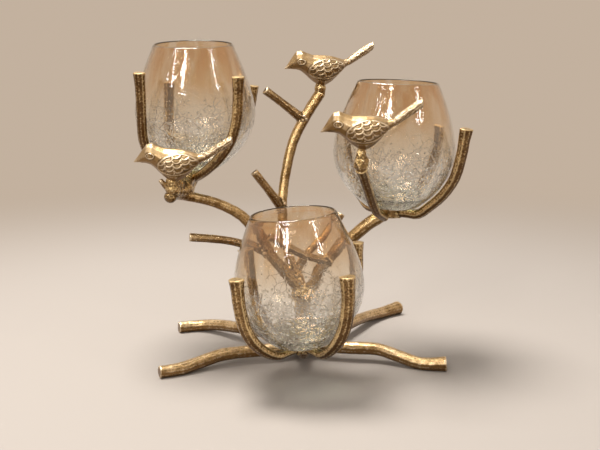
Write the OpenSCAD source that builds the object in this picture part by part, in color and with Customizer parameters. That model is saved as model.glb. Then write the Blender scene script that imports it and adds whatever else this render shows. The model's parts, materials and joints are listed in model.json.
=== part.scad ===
// Tree-branch candle stand. Four root legs carry a short trunk, which forks into
// three branches. Three cradles of four prongs each hold a loose blown-glass cup,
// and three cast birds stand on cut branch ends. All sizes are in millimetres.
// The origin is on the table in the middle of the stand's outline, +Z is up and
// -Y faces the viewer.

/* [Glass cups] */
// Height of a glass cup
cup_height = 92; // [86:1:98]
// Outside diameter of a cup at its belly
cup_belly_d = 91; // [84:1:94]
// Outside diameter of a cup at its rim
cup_rim_d = 59; // [50:1:70]
// Diameter of the flat base of a cup
cup_base_d = 39; // [34:1:44]
// Height of the belly above the base
cup_belly_h = 42; // [38:1:46]
// Thickness of the glass wall
cup_wall = 2.2; // [1.6:0.1:3.2]
// Thickness of the heavy glass floor
cup_floor = 8; // [5:0.5:12]

/* [Cradles] */
// Width of a cradle prong
prong_w = 9.5; // [7.5:0.5:10.5]
// Thickness of a cradle prong
prong_t = 7.8; // [6:0.2:8.4]
// Clearance between a prong and the belly of the glass
prong_gap = 0.8; // [0.4:0.1:1.6]
// Diameter of the boss in the middle of a cradle
boss_d = 14; // [13:0.5:18]
// Clearance between the boss and the cup that rests on it
seat_gap = 0.1; // [0.05:0.05:0.3]

/* [Frame] */
// Diameter of a leg
leg_d = 9.6; // [8:0.2:11]
// Diameter of the trunk
trunk_d = 14; // [12:0.5:16]
// Height of the fork above the table
fork_h = 48; // [44:1:54]
// Diameter of a main branch where it leaves the fork
branch_d = 10; // [8.5:0.25:11]
// Diameter of a twig
twig_d = 6.6; // [5:0.2:7.6]
// Depth of the flat that each leg stands on
foot_cut = 0.5; // [0.3:0.1:1]
// How far the left legs reach to the left of the trunk
left_leg_reach = 104; // [98:1:110]
// How far the front right leg reaches to the right of the trunk
right_leg_reach = 106; // [100:1:112]
// How far the back right leg reaches behind the trunk
back_leg_reach = 112; // [106:1:118]

/* [Twigs] */
// Length of the twig on the left branch
left_twig_length = 61; // [57:1:64]
// Length of the twig on the right branch
right_twig_length = 55; // [52:1:57]
// Length of the twig above the fork
fork_twig_length = 54; // [51:1:56]
// Length of the twig in the middle of the centre branch
middle_twig_length = 37; // [33:1:40]
// Length of the twig near the top of the centre branch
upper_twig_length = 40; // [36:1:43]

/* [Birds] */
// Length of a bird from beak to tail
bird_length = 70; // [62:1:72]
// Height of a bird's body
bird_height = 26; // [22:1:28]
// Width of a bird's body
bird_width = 22; // [18:1:23]
// Length of the post between a bird and the cut branch end that carries it
post_length = 5.5; // [4.5:0.5:7]
// Length of the post under the bird on the right cradle's prong
right_post_length = 13.5; // [12:0.5:16]
// Diameter of a post at its neck
post_d = 5.6; // [4.4:0.2:6.4]

/* [Layout] */
// How far the front cup stands in front of the trunk
front_cup_reach = 67; // [64:1:76]
// Height of the front cup's base above the table
front_cup_h = 32; // [30:1:38]
// How far the left cup stands to the left of the trunk
left_cup_out = 81.5; // [80:0.5:90]
// How far the left cup's base stands behind the trunk
left_cup_back = 21; // [18:1:26]
// Height of the left cup's base above the table
left_cup_h = 145.5; // [140:0.5:152]
// How far the right cup stands to the right of the trunk
right_cup_out = 66; // [64.5:0.5:72]
// How far the right cup's base stands in front of the trunk
right_cup_front = 2.5; // [0:0.5:4]
// Height of the right cup's base above the table
right_cup_h = 118; // [115:0.5:124]
// Height of the cut branch end that carries the top bird
top_end_h = 200; // [194:1:206]

/* [Hidden] */

gold = "#b8904c";
pale_gold = "#c9a363";
glass = [0.86, 0.76, 0.64, 0.55];

// Sides of a round rod, of a thin rod and steps between two points of a path
rod_sides = 12;
twig_sides = 10;
path_steps = 3;

base_r = cup_base_d / 2;
belly_r = cup_belly_d / 2;
rim_r = cup_rim_d / 2;
// How full the cup is below and above its belly
lower_curve = 2.2;
upper_curve = 1.55;
// Share of a prong's thickness that lies on the glass side of its middle line
prong_in = 0.46 * prong_t;
boss_lip = 0.6;
// Depth of a bird's post inside the end that carries it, and how far it runs on over the
// neck until the bird's body cuts it
post_root = 2;
post_over = 3.5;
// Number of the last station of a prong
prong_last = 8;
bird_sides = 12;
// Scale of the prongs of each cradle where they leave the boss
front_root = 0.7;
left_root = 0.78;
right_root = 0.94;
// How far under the middle of the left boss a prong starts on the rod there
bracket_drop = 1.5;
knot_d = trunk_d + 5;
knot_t = 10;
knot_low = fork_h - knot_t / 2;
crown_h = 10.5;
crown_d = 20.5;
table_side = 4 * left_cup_out;
// The trunk stands a little off the middle of the outline
trunk_at = [3.2, -2.1, 0];

// Each cup: middle of its base from the foot of the trunk, lean towards the viewer
// and lean to the right
front_seat = [[0, -front_cup_reach, front_cup_h], 0, -4.5];
left_seat = [[-left_cup_out, left_cup_back, left_cup_h], 6, 0];
right_seat = [[right_cup_out, -right_cup_front, right_cup_h], 1.8, 2];

// Radius of the glass at a height over the base of the cup
function glass_r(h) = h < cup_belly_h
    ? base_r + (belly_r - base_r) * (1 - pow((cup_belly_h - h) / cup_belly_h, lower_curve))
    : rim_r + (belly_r - rim_r) * (1 - pow((h - cup_belly_h) / (cup_height - cup_belly_h), upper_curve));

function glass_slope(h) = (glass_r(h + 0.1) - glass_r(h)) / 0.1;

// Point that stands off the glass by a distance, square to its surface
function off_glass(h, d) =
    let (m = glass_slope(h), n = norm([1, m]))
    [glass_r(h) + d / n, h - d * m / n];

// Distance from the glass to the middle line of a prong of a given scale
function stand_off(scale) = prong_gap + scale * prong_in;

// Thickness of a cradle's boss and height of its middle, by the scale of its prongs' roots
function boss_t(root) = root * prong_t + 2 * boss_lip;
function boss_mid(root) = -seat_gap - boss_t(root) / 2;

// Place in the model of a point given from the base of a cup
function from_seat(s, v) =
    let (
        a = s[1],
        b = s[2],
        p = [v[0], v[1] * cos(a) - v[2] * sin(a), v[1] * sin(a) + v[2] * cos(a)]
    )
    s[0] + [p[0] * cos(b) + p[2] * sin(b), p[1], -p[0] * sin(b) + p[2] * cos(b)];

function polar(r, angle, h) = [r * cos(angle), r * sin(angle), h];

function unit(v) = v / norm(v);

function xyz(p) = [p[0], p[1], p[2]];

// A point with the radius or scale that a rod has there
function sized(p, size) = [p[0], p[1], p[2], size];

function spline_at(a, b, c, d, t) =
    b + t / 2 * (c - a + t * (2 * a - 5 * b + 4 * c - d + t * (3 * b - a - 3 * c + d)));

// Smooth curve through points that may carry a size as their fourth number
function smooth(p, steps = path_steps) =
    let (n = len(p) - 1)
    concat(
        [for (i = [0:n - 1], k = [0:steps - 1])
            spline_at(p[max(i - 1, 0)], p[i], p[i + 1], p[min(i + 2, n)], k / steps)],
        [p[n]]
    );

function headings(p) =
    let (n = len(p) - 1)
    [for (i = [0:n]) unit(xyz(p[min(i + 1, n)]) - xyz(p[max(i - 1, 0)]))];

// Side direction carried along a path without twisting
function carried(t, up, i = 0, done = []) =
    i == len(t) ? done :
    let (u = i == 0 ? up : done[i - 1], flat = unit(u - (u * t[i]) * t[i]))
    carried(t, up, i + 1, concat(done, [flat]));

function circle_ring(sides) = [for (k = [0:sides - 1]) [cos(360 * k / sides), sin(360 * k / sides)]];

// Closed skin through rings of equal count, with flat ends
module loft(rings) {
    n = len(rings);
    m = len(rings[0]);
    points = [for (r = rings) each r];
    sides = [for (i = [0:n - 2], j = [0:m - 1])
        let (a = i * m + j, b = i * m + (j + 1) % m)
        each [[a, b, b + m], [a, b + m, a + m]]];
    start = [for (j = [1:m - 2]) [0, j + 1, j]];
    last = (n - 1) * m;
    end = [for (j = [1:m - 2]) [last, last + j, last + j + 1]];
    polyhedron(points = points, faces = concat(sides, start, end), convexity = 6);
}

// A section swept along a path whose fourth numbers scale it, whole or between two steps
module sweep(path, ring, up, first = 0, last = 1000) {
    t = headings(path);
    u = carried(t, up);
    loft([for (i = [max(0, first):min(last, len(path) - 1)])
        let (side = cross(t[i], u[i]))
        [for (q = ring) xyz(path[i]) + path[i][3] * (q[0] * side + q[1] * u[i])]]);
}

// Round rod through points [x, y, z, radius], whole or between two of its points
module rod(points, first = 0, last = 100, sides = rod_sides) {
    sweep(smooth(points), circle_ring(sides), [0.1, 0.2, 1], path_steps * first, path_steps * last);
}

// Root crown, legs and trunk
crown_points = [
    [0, -0.78 * crown_d, crown_h - 1.5, 0.25 * crown_d],
    [0, -0.54 * crown_d, crown_h - 0.5, 0.42 * crown_d],
    [0, 0, crown_h + 0.5, 0.5 * crown_d],
    [0, 0.54 * crown_d, crown_h - 0.5, 0.42 * crown_d],
    [0, 0.83 * crown_d, crown_h - 1.5, 0.25 * crown_d]
];

module crown_solid() {
    difference() {
        rod(crown_points);
        table_block();
        translate([-crown_d, -crown_d, crown_h + 0.42 * crown_d])
            cube([2 * crown_d, 2 * crown_d, crown_d]);
    }
}

// Everything below the table
module table_block() {
    translate([-table_side / 2, -table_side / 2, -leg_d]) cube([table_side, table_side, leg_d]);
}

leg_r = leg_d / 2;

// Middle line of a leg from the trunk to its end. Each stop is [share of the way,
// distance to the left of the straight line, share of the crown's height, scale].
function leg_path(end, stops) =
    let (along = unit(end), left = [-along[1], along[0]])
    [for (s = stops)
        let (p = s[0] * end + s[1] * left, low = leg_r * s[3] - foot_cut)
        [p[0], p[1], low + s[2] * (crown_h - leg_r + foot_cut), leg_r * s[3]]];

module leg(points) {
    difference() {
        rod(points);
        table_block();
        crown_solid();
    }
}

leg_front_left_points = leg_path([-left_leg_reach, -51], [
    [0.06, 4.5, 1, 1], [0.21, 3.8, 0.84, 1], [0.38, -0.6, 0.76, 1], [0.56, -3.1, 0.74, 1.02],
    [0.71, -2.5, 0.31, 1.02], [0.86, 0.3, 0, 1], [1, 0, 0.03, 0.96]
]);
leg_front_right_points = leg_path([right_leg_reach, -36], [
    [0.05, -3.4, 1, 1], [0.2, -4, 0.97, 1.04], [0.36, -2, 0.98, 1.02], [0.53, 1, 1, 1],
    [0.69, -0.2, 0.4, 1], [0.84, -2.9, 0, 1], [1, 0, 0, 1.19]
]);
leg_back_left_points = leg_path([-left_leg_reach, 56], [
    [0.05, -3.4, 1, 1], [0.2, -5.6, 1, 1], [0.38, -6.7, 1, 1], [0.56, -9.6, 0.84, 1],
    [0.76, -14.3, 0.4, 1], [0.9, -12, 0, 1], [1, 0, 0, 1]
]);
leg_back_right_points = leg_path([86.5, back_leg_reach], [
    [0.05, 0.5, 1, 1], [0.18, -3.2, 1, 1], [0.34, -3.3, 1, 1], [0.51, 0.6, 0.84, 1],
    [0.69, 4.6, 0.4, 1], [0.86, 4.3, 0, 1.08], [1, 0, 0, 1.25]
]);

module trunk_solid() {
    r = trunk_d / 2;
    difference() {
        rod([
            [0, 0, crown_h, r * 1.35],
            [0.5, 0, crown_h + 8, r * 1.25],
            [0, 0, crown_h + 18, r * 0.98],
            [-0.5, 0, knot_low - 8, r * 0.94],
            [0, 0, knot_low + 2, r]
        ]);
        crown_solid();
        translate([-trunk_d, -trunk_d, knot_low]) cube([2 * trunk_d, 2 * trunk_d, knot_t]);
    }
}

// Knot of weld metal under the fork, a lumpy barrel with two grooves
module knot_solid() {
    r = knot_d / 2;
    translate([0, 0, knot_low])
        rotate_extrude($fn = 32)
            polygon([
                [0, 0], [r * 0.82, 0], [r * 0.96, 1.2], [r, 2.4], [r * 0.96, 3.4], [r * 0.9, 3.9],
                [r * 0.96, 4.5], [r, 5.6], [r * 0.96, 6.6], [r * 0.88, 7.1],
                [r * 0.9, 7.8], [r * 0.84, 9], [r * 0.66, knot_t], [0, knot_t]
            ]);
}

// Branches, as points with their radius
branch_r = branch_d / 2;
twig_r = twig_d / 2;

// A point between two others, moved off the straight line by hand
function bend(a, b, t, off, r) = sized(a + t * (b - a) + off, r);

fork = [0, 0, fork_h];
left_end = left_seat[0] + [-12.5, -52, -14.5];
left_points = [
    sized(fork, branch_r),
    bend(fork, left_end, 0.05, [2, 1, 1], branch_r),
    bend(fork, left_end, 0.16, [0.5, 4, 5], branch_r * 0.98),
    bend(fork, left_end, 0.3, [2, 6, 7.5], branch_r * 0.95),
    bend(fork, left_end, 0.45, [8.5, 10, 9.8], branch_r * 0.92),
    bend(fork, left_end, 0.6, [10.5, 14, 12.7], branch_r * 0.84),
    bend(fork, left_end, 0.75, [6, 16, 10.5], branch_r * 0.77),
    bend(fork, left_end, 0.88, [1, 15, 5], branch_r * 0.77),
    bend(fork, left_end, 0.95, [-1, 8, 2.5], branch_r * 0.8),
    sized(left_end, branch_r * 0.92)
];

centre_end = [13.5, 37, top_end_h];
centre_points = [
    sized(fork, branch_r * 0.9),
    bend(fork, centre_end, 0.09, [-5.2, -1.3, 0.3], branch_r * 0.86),
    bend(fork, centre_end, 0.16, [-12.2, -1.9, 1.7], branch_r * 0.78),
    bend(fork, centre_end, 0.26, [-18, -1.6, 2.5], branch_r * 0.76),
    bend(fork, centre_end, 0.41, [-21.5, -2.2, 2.7], branch_r * 0.76),
    bend(fork, centre_end, 0.56, [-21.6, -0.7, 1.9], branch_r * 0.78),
    bend(fork, centre_end, 0.74, [-18, 0.6, 1.5], branch_r * 0.82),
    bend(fork, centre_end, 0.89, [-9, 0.1, 0.7], branch_r * 0.86),
    sized(centre_end, branch_r * 0.88)
];

right_end = from_seat(right_seat, [-1, -1, boss_mid(right_root) - 0.8]);
right_points = [
    sized(fork, branch_r),
    bend(fork, right_end, 0.1, [2, 0, 1.5], branch_r * 0.98),
    bend(fork, right_end, 0.22, [-1, 0, 5], branch_r * 0.95),
    bend(fork, right_end, 0.38, [-1, -0.5, 6], branch_r * 0.95),
    bend(fork, right_end, 0.54, [0, -1, 8.5], branch_r * 0.97),
    bend(fork, right_end, 0.7, [2.5, -2, 10], branch_r),
    bend(fork, right_end, 0.86, [1, -1.5, 5.5], branch_r * 0.98),
    sized(right_end, 0.42 * boss_t(right_root))
];

module left_branch_solid() {
    difference() {
        rod(left_points);
        knot_solid();
    }
}

module right_branch_solid() {
    difference() {
        rod(right_points);
        knot_solid();
        rod(left_points, 0, 2);
        seat(right_seat) boss(right_root);
    }
}

module centre_branch_solid() {
    difference() {
        rod(centre_points);
        knot_solid();
        rod(left_points, 0, 2);
        rod(right_points, 0, 2);
    }
}

// Twig from a point inside the branch that carries it, through places given from that
// point as shares of its length
module twig(root, length, stops) {
    rod([
        sized(root, twig_r * 1.25),
        for (p = stops) sized(root + length * p, twig_r)
    ], sides = twig_sides);
}

left_twig_root = xyz(left_points[3]);
right_twig_root = xyz(right_points[3]) + [-1, -1, -4];
fork_twig_root = xyz(centre_points[1]) + [0, 0, 6];
middle_twig_root = xyz(centre_points[4]);
upper_twig_root = xyz(centre_points[7]) + [-2, -1, -5];

// Cradles
module seat(s) {
    translate(s[0]) rotate([s[1], s[2], 0]) children();
}

module boss(root) {
    t = boss_t(root);
    translate([0, 0, boss_mid(root)])
        rotate_extrude($fn = 36)
            polygon([
                [0, -t / 2], [boss_d / 2 - 1.2, -t / 2], [boss_d / 2, 1.2 - t / 2],
                [boss_d / 2, t / 2 - 0.8], [boss_d / 2 - 0.8, t / 2], [0, t / 2]
            ]);
}

// Section of a prong: flat to the glass, ridged outside, one unit across each way
prong_ring = [
    for (q = [[0.36, -0.46], [0.5, -0.22], [0.5, 0.08], [0.3, 0.4], [0, 0.54]])
    [q[0] * prong_w, q[1] * prong_t],
    for (q = [[-0.3, 0.4], [-0.5, 0.08], [-0.5, -0.22], [-0.36, -0.46]])
    [q[0] * prong_w, q[1] * prong_t]
];

// A prong as [start radius, drop of its start below the boss's middle, angle at its foot,
// angle at its top, height of its tip over the cup's base, splay of its tip, slack of its
// foot, scale, how late it turns from its foot's angle to its top's]. Each station is
// [radius, height, share of the turn, scale].
function prong_stations(p, root) =
    let (
        near = root + 0.25 * (p[7] - root),
        bent = root + 0.6 * (p[7] - root),
        start = boss_mid(root) - p[1],
        low = [base_r + 1.5 + 0.3 * p[6], 0.1 - stand_off(near)],
        high = beside_glass(p, 0.7, 0.1, 0.4, p[7]),
        tip = [belly_r + stand_off(p[7]) + p[5], p[4]]
    )
    [
        [p[0], start, 0, root],
        [(p[0] + low[0]) / 2, (start + low[1]) / 2, 0.04, root],
        concat(low, [0.1, near]),
        concat(beside_glass(p, 0.08, 0.9, 0, bent), [0.25, bent]),
        concat(beside_glass(p, 0.25, 0.8, 0, p[7]), [0.5, p[7]]),
        concat(beside_glass(p, 0.46, 0.4, 0.1, p[7]), [0.75, p[7]]),
        concat(high, [0.92, p[7]]),
        concat((high + tip) / 2, [0.98, p[7] * 1.02]),
        concat(tip, [1, p[7] * 1.08])
    ];

// Point beside the glass at a share of a prong's height, with shares of its slack and splay
function beside_glass(p, share, slack, splay, scale) =
    off_glass(share * min(p[4], cup_belly_h / 0.7), stand_off(scale)) + [slack * p[6] + splay * p[5], 0];

function prong_points(p, root) = [
    for (s = prong_stations(p, root))
    sized(polar(s[0], p[2] + (p[3] - p[2]) * pow(s[2], p[8]), s[1]), s[3])
];

module prong(p, root) {
    sweep(smooth(prong_points(p, root)), prong_ring, [0, 0, -1]);
}

front_prongs = [
    [3, 0, -141, -141, 57, 1.5, 5, 1, 1],
    [3, 0, -57, -50, 55, 1.5, 5, 1, 1],
    [3, 0, 38, 33, 62.5, 2.5, 5, 0.95, 1],
    [3, 0, 137, 137, 62, 2.5, 5, 0.95, 1]
];
left_prongs = [
    [3, 0, -154, -132, 76, 2.5, 2, 0.82, 1],
    [19, bracket_drop, -99, -45, 73, 1, 4, 0.88, 0.55],
    [3, 0, 58, 36, 57, 3.5, 0, 0.86, 1],
    [3, 0, 138, 121, 57.5, 2, 2, 0.9, 1]
];
right_prongs = [
    [9, 5, -122, -117.5, 35, 11, 1, 0.76, 1],
    [3, 0, -20, -28, 62.5, 4.3, 0, 0.98, 1],
    [3, 0, 54, 38, 58, 1, 1, 0.95, 1],
    [3, 0, 135, 135, 50, 2, 1, 0.9, 1]
];
// The prong under the bird and the one on the right at the back taper to their feet more
// than their neighbours
bird_prong_root = 0.66;
back_prong_root = 0.8;

// Rod from the left branch to the boss under the left cup
bracket_root = bend(fork, left_end, 0.9, [0, 13, 5], branch_r * 0.95);
bracket_points = [
    bracket_root,
    sized(from_seat(left_seat, [-4, -22, boss_mid(left_root) - 7]), branch_r * 0.95),
    sized(from_seat(left_seat, [-2, -12, boss_mid(left_root) - 4]), branch_r * 0.9),
    sized(from_seat(left_seat, [0, -1, boss_mid(left_root) - 1]), branch_r * 0.8)
];

module bracket_solid() {
    difference() {
        rod(bracket_points);
        rod(left_points, 6, 9);
        seat(left_seat) boss(left_root);
    }
}

// Arm from the root crown to the boss under the front cup, low behind the cradle
arm_points = [
    [0, -6, crown_h, branch_r],
    [0, -22, crown_h, branch_r * 0.98],
    [0.3, -36, crown_h + 3.5, branch_r * 0.92],
    sized(from_seat(front_seat, [0.5, 20, boss_mid(front_root) - 6]), branch_r * 0.84),
    sized(from_seat(front_seat, [0, 10, boss_mid(front_root) - 1.1]), branch_r * 0.68),
    sized(from_seat(front_seat, [0, 0, boss_mid(front_root)]), branch_r * 0.62)
];

// Glass cup, open at the top, with its base at the origin
module cup() {
    steps = 26;
    lip = cup_wall / 2;
    outside = [for (k = [0:steps]) let (h = cup_height * k / steps) [glass_r(h), h]];
    inside = [for (k = [steps:-1:0])
        let (h = cup_floor + (cup_height - cup_floor) * k / steps)
        [glass_r(h) - cup_wall * (k == 0 ? 2 : 1), h]];
    rim = [[rim_r - lip, cup_height + 0.5 * lip]];
    rotate_extrude($fn = 64)
        polygon(concat([[0, 0]], outside, rim, inside, [[0, cup_floor]]));
}

// Birds. Each station is [along, low, high, half width], as shares of the
// bird's length, height, height and width, from the beak to the end of the tail.
bird_stations = [
    [-0.406, 0.44, 0.475, 0.02],
    [-0.362, 0.455, 0.635, 0.09],
    [-0.319, 0.462, 0.82, 0.19],
    [-0.275, 0.462, 0.97, 0.285],
    [-0.225, 0.43, 1, 0.34],
    [-0.174, 0.335, 0.945, 0.375],
    [-0.101, 0.165, 0.9, 0.44],
    [-0.029, 0.04, 0.9, 0.49],
    [0.043, 0.01, 0.9, 0.5],
    [0.116, 0.13, 0.885, 0.45],
    [0.188, 0.32, 0.84, 0.36],
    [0.246, 0.5, 0.8, 0.25],
    [0.3, 0.625, 0.83, 0.18],
    [0.4, 0.8, 1.03, 0.17],
    [0.5, 0.97, 1.23, 0.18],
    [0.575, 1.13, 1.33, 0.17]
];

module bird_body() {
    loft([for (s = bird_stations)
        let (mid = (s[1] + s[2]) / 2 * bird_height, half = (s[2] - s[1]) / 2 * bird_height)
        [for (k = [0:bird_sides - 1])
            let (a = 360 * (k + 0.5) / bird_sides, up = sin(a) / cos(180 / bird_sides))
            [s[0] * bird_length, -s[3] * bird_width * cos(a), mid + half * up]]]);
}

// Half width of the body at a place along it and a height, all as shares
function bird_side(along, up) =
    let (
        low = lookup(along, [for (s = bird_stations) [s[0], s[1]]]),
        high = lookup(along, [for (s = bird_stations) [s[0], s[2]]]),
        half = lookup(along, [for (s = bird_stations) [s[0], s[3]]]),
        v = (2 * up - low - high) / (high - low)
    )
    half * sqrt(max(0, 1 - v * v));

// Outline of a wing as [along, up] shares of the bird's length and height, from the
// shoulder over the top
wing_outline = [
    [-0.12, 0.55], [-0.095, 0.68], [-0.03, 0.765], [0.06, 0.795], [0.15, 0.785], [0.22, 0.745],
    [0.265, 0.675], [0.215, 0.55], [0.15, 0.4], [0.075, 0.28], [-0.005, 0.245], [-0.08, 0.37]
];
wing_middle = [0.05, 0.54];
// Share of the outline and height over the body's side
wing_rings = [[1, -1.8], [1, 0], [0.95, 0.8], [0.8, 1.05], [0.35, 1.2]];

// Wing panel that stands off one side of the body and follows its curve
module wing(side) {
    n = len(wing_outline);
    loft([for (g = wing_rings)
        [for (k = [0:n - 1])
            let (
                q = wing_outline[side < 0 ? k : n - 1 - k],
                p = wing_middle + g[0] * (q - wing_middle),
                out = bird_side(p[0], p[1]) * bird_width + g[1]
            )
            [p[0] * bird_length, side * out, p[1] * bird_height]]]);
}

eye_at = [-0.228, 0.68];
eye_r = 1.9;

// Eye, a raised ring round a bead
module eye(side) {
    depth = bird_side(eye_at[0], eye_at[1]) * bird_width - 1.2;
    translate([eye_at[0] * bird_length, side * depth, eye_at[1] * bird_height])
        rotate([-90 * side, 0, 0])
            rotate_extrude($fn = 20)
                polygon([
                    [0, 0], [eye_r, 0], [eye_r, 1.2], [0.85 * eye_r, 1.7], [0.65 * eye_r, 1.5],
                    [0.5 * eye_r, 1.3], [0.3 * eye_r, 1.6], [0, 1.75]
                ]);
}

module bird() {
    union() {
        bird_body();
        for (side = [-1, 1]) {
            wing(side);
            eye(side);
        }
    }
}

// Braze bead and neck under a bird: length of the neck and height of the bead on it
module post(length, bead) {
    r = post_d / 2;
    rotate_extrude($fn = 24)
        polygon([
            [0, -post_root], [r - 0.4, -post_root], [r + 0.1, bead - 1.8], [r + 1, bead - 1.1],
            [r + 1.3, bead], [r + 0.9, bead + 1], [r - 0.2, bead + 1.8],
            [r - 0.1, length + post_over], [0, length + post_over]
        ]);
}

// Where each bird's post stands and how the bird sits on it
left_perch = left_end + [0.5, -1, branch_r * 0.85];
bird_prong_points = prong_points(right_prongs[0], bird_prong_root);
right_perch = from_seat(right_seat, xyz(bird_prong_points[prong_last]));
top_perch = centre_end;

module left_post() translate(left_perch) post(post_length, 0.18 * post_length);
module right_post() translate(right_perch) post(right_post_length, 0.385 * right_post_length);
module top_post() translate(top_perch) post(post_length, 0.44 * post_length);

module left_bird_place() translate(left_perch + [0.5, -1.5, post_length]) rotate([0, 4, 1]) children();
module right_bird_place()
    translate(right_perch + [0.3, -1, right_post_length]) rotate([0, 0, -4]) children();
module top_bird_place() translate(top_perch + [-0.3, 0, post_length]) rotate([0, 2, 8]) children();

// Puts a piece modelled from the foot of the trunk in its place
module placed() translate(trunk_at) children();

// One module for each piece
module root_crown() color(gold) crown_solid();
module leg_front_left() color(gold) leg(leg_front_left_points);
module leg_front_right() color(gold) leg(leg_front_right_points);
module leg_back_left() color(gold) leg(leg_back_left_points);
module leg_back_right() color(gold) leg(leg_back_right_points);
module trunk() color(gold) trunk_solid();
module fork_knot() color(pale_gold) knot_solid();
module front_arm() color(gold)
    difference() {
        rod(arm_points);
        crown_solid();
        seat(front_seat) boss(front_root);
    }

module left_branch() color(gold) left_branch_solid();
module centre_branch() color(gold) centre_branch_solid();
module right_branch() color(gold) right_branch_solid();

module left_twig() color(pale_gold)
    difference() {
        twig(left_twig_root, left_twig_length, [
            [-0.36, -0.01, 0.15], [-0.65, -0.08, 0.215], [-0.96, -0.14, 0.25]
        ]);
        rod(left_points, 2, 4);
    }
module right_twig() color(pale_gold)
    difference() {
        twig(right_twig_root, right_twig_length, [
            [-0.27, -0.04, 0.055], [-0.475, -0.115, 0.15], [-0.675, -0.17, 0.265], [-0.89, -0.205, 0.4]
        ]);
        rod(right_points, 2, 4);
    }
module fork_twig() color(pale_gold)
    difference() {
        twig(fork_twig_root, fork_twig_length, [
            [0.185, 0.075, 0.24], [0.445, 0.185, 0.47], [0.62, 0.26, 0.75]
        ]);
        rod(centre_points, 0, 3);
    }
module middle_twig() color(pale_gold)
    difference() {
        twig(middle_twig_root, middle_twig_length, [[-0.285, -0.135, 0.42], [-0.57, -0.215, 0.8]]);
        rod(centre_points, 3, 5);
    }
module upper_twig() color(pale_gold)
    difference() {
        twig(upper_twig_root, upper_twig_length, [[-0.425, -0.15, 0.35], [-0.75, -0.275, 0.6]]);
        rod(centre_points, 6, 8);
    }

module front_boss() color(gold) seat(front_seat) boss(front_root);
module left_boss() color(gold) seat(left_seat) boss(left_root);
module right_boss() color(gold) seat(right_seat) boss(right_root);
module left_bracket() color(gold) bracket_solid();

module front_prong(i) color(gold)
    seat(front_seat)
        difference() {
            prong(front_prongs[i], front_root);
            boss(front_root);
        }
// One of the front cradle's back prongs, which the arm passes between
module front_back_prong(i) color(gold)
    difference() {
        front_prong(i);
        rod(arm_points, 3, 5);
    }
module front_prong_1() front_prong(0);
module front_prong_2() front_prong(1);
module front_prong_3() front_back_prong(2);
module front_prong_4() front_back_prong(3);

module left_prong(i) color(gold)
    seat(left_seat)
        difference() {
            prong(left_prongs[i], left_root);
            boss(left_root);
        }
// Left cradle's prong that leaves the boss beside the rod under it
module left_prong_1() color(gold)
    difference() {
        left_prong(0);
        rod(bracket_points, 1, 3);
    }
// Left cradle's prong that starts on that rod
module left_prong_2() color(gold)
    difference() {
        seat(left_seat) prong(left_prongs[1], left_root);
        rod(bracket_points);
    }
module left_prong_3() left_prong(2);
module left_prong_4() left_prong(3);

module right_prong(i, root = right_root) color(gold)
    seat(right_seat)
        difference() {
            prong(right_prongs[i], root);
            boss(right_root);
        }
// Right cradle's prong under the bird, which touches the right branch
module right_prong_1() color(gold)
    difference() {
        right_prong(0, bird_prong_root);
        rod(right_points, 5, 7);
    }
module right_prong_2() right_prong(1);
module right_prong_3() right_prong(2, back_prong_root);
// Right cradle's prong on the left at the back, which touches the branch too
module right_prong_4() color(gold)
    difference() {
        right_prong(3);
        rod(right_points, 6, 7);
    }

module left_bird_post() color(pale_gold)
    difference() {
        left_post();
        rod(left_points, 8, 9);
        left_bird_place() bird_body();
    }
module right_bird_post() color(pale_gold)
    difference() {
        right_post();
        seat(right_seat) prong(right_prongs[0], bird_prong_root);
        right_bird_place() bird_body();
    }
module top_bird_post() color(pale_gold)
    difference() {
        top_post();
        rod(centre_points, 7, 8);
        top_bird_place() bird_body();
    }
module left_spur() color(pale_gold)
    difference() {
        rod([
            sized(left_end, twig_r * 0.6),
            sized(left_end + twig_d * [-0.53, -0.15, 0.76], twig_r * 0.52),
            sized(left_end + twig_d * [-1.21, -0.23, 1.6], twig_r * 0.4)
        ], sides = twig_sides);
        rod(left_points, 7, 9);
        left_post();
        left_bird_place() bird_body();
    }

module left_bird() color(pale_gold) left_bird_place() bird();
module right_bird() color(pale_gold) right_bird_place() bird();
module top_bird() color(pale_gold) top_bird_place() bird();

module front_cup() color(glass) seat(front_seat) cup();
module left_cup() color(glass) seat(left_seat) cup();
module right_cup() color(glass) seat(right_seat) cup();

placed() root_crown();
placed() leg_front_left();
placed() leg_front_right();
placed() leg_back_left();
placed() leg_back_right();
placed() trunk();
placed() fork_knot();
placed() front_arm();
placed() left_branch();
placed() centre_branch();
placed() right_branch();
placed() left_twig();
placed() right_twig();
placed() fork_twig();
placed() middle_twig();
placed() upper_twig();
placed() front_boss();
placed() front_prong_1();
placed() front_prong_2();
placed() front_prong_3();
placed() front_prong_4();
placed() left_boss();
placed() left_bracket();
placed() left_prong_1();
placed() left_prong_2();
placed() left_prong_3();
placed() left_prong_4();
placed() right_boss();
placed() right_prong_1();
placed() right_prong_2();
placed() right_prong_3();
placed() right_prong_4();
placed() left_bird_post();
placed() right_bird_post();
placed() top_bird_post();
placed() left_spur();
placed() left_bird();
placed() right_bird();
placed() top_bird();
placed() front_cup();
placed() left_cup();
placed() right_cup();
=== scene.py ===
import json
import math

import bmesh
import bpy
import numpy as np
from mathutils import Matrix, Vector, noise
from mathutils.bvhtree import BVHTree


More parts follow.
